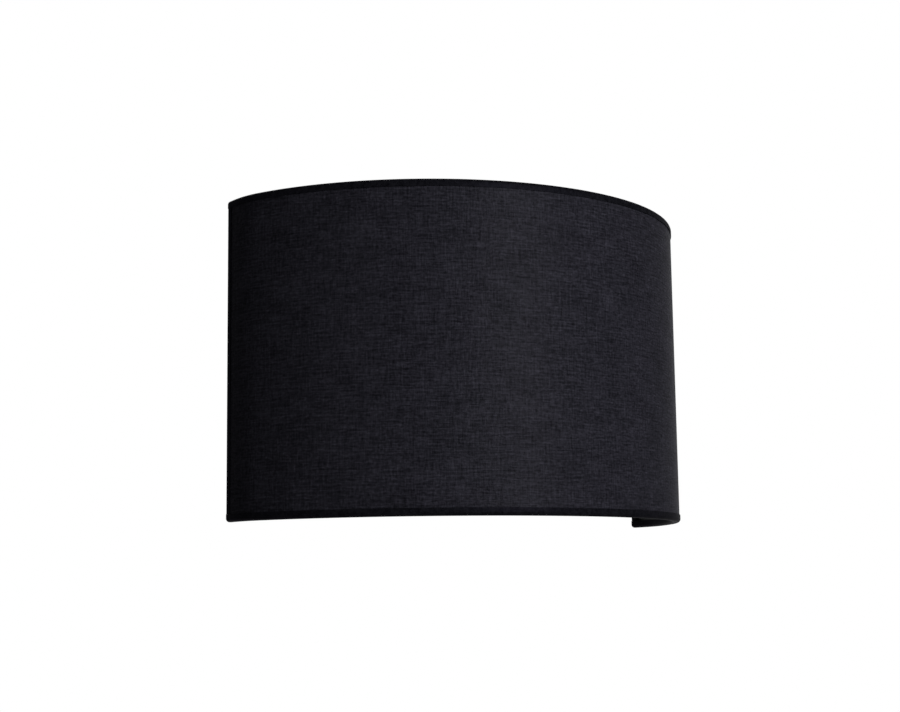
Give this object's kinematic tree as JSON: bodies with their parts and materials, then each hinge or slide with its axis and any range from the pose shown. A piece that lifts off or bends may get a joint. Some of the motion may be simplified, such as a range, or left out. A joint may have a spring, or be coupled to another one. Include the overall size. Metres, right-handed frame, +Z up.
{
  "type": "wall lamp",
  "caption": "Wall lamp with a half drum fabric shade that hangs on a steel back pan, over an upright screw bulb on a bent arm.",
  "frame": {"origin": "middle of the two wall screw slots, on the back face of the wall strap, in the plane of the wall", "axes": "+X along the wall to the right seen from the room, +Y into the wall, +Z up; the lamp stands out towards -Y"},
  "size_m": [0.3, 0.13, 0.18],
  "materials": {
    "black_fabric": "plain woven cotton with slubs, matt",
    "black_liner": "stiff laminated liner, matt",
    "hem_fabric": "smooth rolled edge strip",
    "coated_wire": "black powder coated wire",
    "zinc_steel": "zinc plated sheet",
    "painted_steel": "white powder coat",
    "screw_steel": "bright zinc plated",
    "brass": "turned or pressed brass",
    "black_phenolic": "moulded phenolic resin",
    "ceramic_core": "unglazed steatite",
    "block_plastic": "moulded polyamide",
    "tinned_tag": "tinned brass",
    "brown_insulation": "silicone insulation",
    "blue_insulation": "silicone insulation",
    "green_yellow_insulation": "green and yellow insulation",
    "solder": "soldered tip",
    "cap_glass": "black glass insulator",
    "cap_nickel": "nickel plated sheet",
    "bulb_plastic": "white moulded housing",
    "board_aluminium": "bare board",
    "opal_dome": "opal diffuser"
  },
  "bodies": {
    "wall_unit": {"wall_strap": "zinc_steel", "back_pan": "painted_steel", "pan_screws": "screw_steel", "arm_tube": "brass", "arm_nuts": "brass", "arm_collar": "painted_steel", "holder_cap": "black_phenolic", "holder_skirt": "black_phenolic", "holder_core": "ceramic_core", "screw_shell": "brass", "spring_contact": "brass", "terminal_block": "block_plastic", "terminal_tubes": "brass", "terminal_screws": "screw_steel", "block_screw": "screw_steel", "earth_screw": "screw_steel", "earth_tag": "tinned_tag", "live_lead": "brown_insulation", "neutral_lead": "blue_insulation", "earth_lead": "green_yellow_insulation"},
    "shade": {"shade_fabric": "black_fabric", "shade_liner": "black_liner", "top_hem": "hem_fabric", "bottom_hem": "hem_fabric", "left_end_hem": "hem_fabric", "right_end_hem": "hem_fabric", "top_ring_wire": "coated_wire", "bottom_ring_wire": "coated_wire", "left_upright_wire": "coated_wire", "right_upright_wire": "coated_wire", "hanger_bar": "coated_wire"},
    "bulb_foot": {"bulb_foot_contact": "solder", "bulb_foot_insulator": "cap_glass"},
    "bulb": {"bulb_cap": "cap_nickel", "bulb_housing": "bulb_plastic", "bulb_board": "board_aluminium", "bulb_dome": "opal_dome"}
  },
  "joints": [
    {"name": "shade_lift", "type": "slide", "parent": "wall_unit", "child": "shade", "axis": [0, 0, 1], "range_m": [0, 0.19]},
    {"name": "bulb_travel", "type": "slide", "parent": "wall_unit", "child": "bulb_foot", "axis": [0, 0, 1], "range_m": [0, 0.0128]},
    {"name": "bulb_turn", "type": "hinge", "parent": "bulb_foot", "child": "bulb", "pos_m": [0, -0.062, 0.0409], "axis": [0, 0, 1], "range_deg": [0, 1260]}
  ],
  "couplings": [
    {"joint": "bulb_travel", "follows": "bulb_turn", "m_per_rad": 0.0005775}
  ]
}
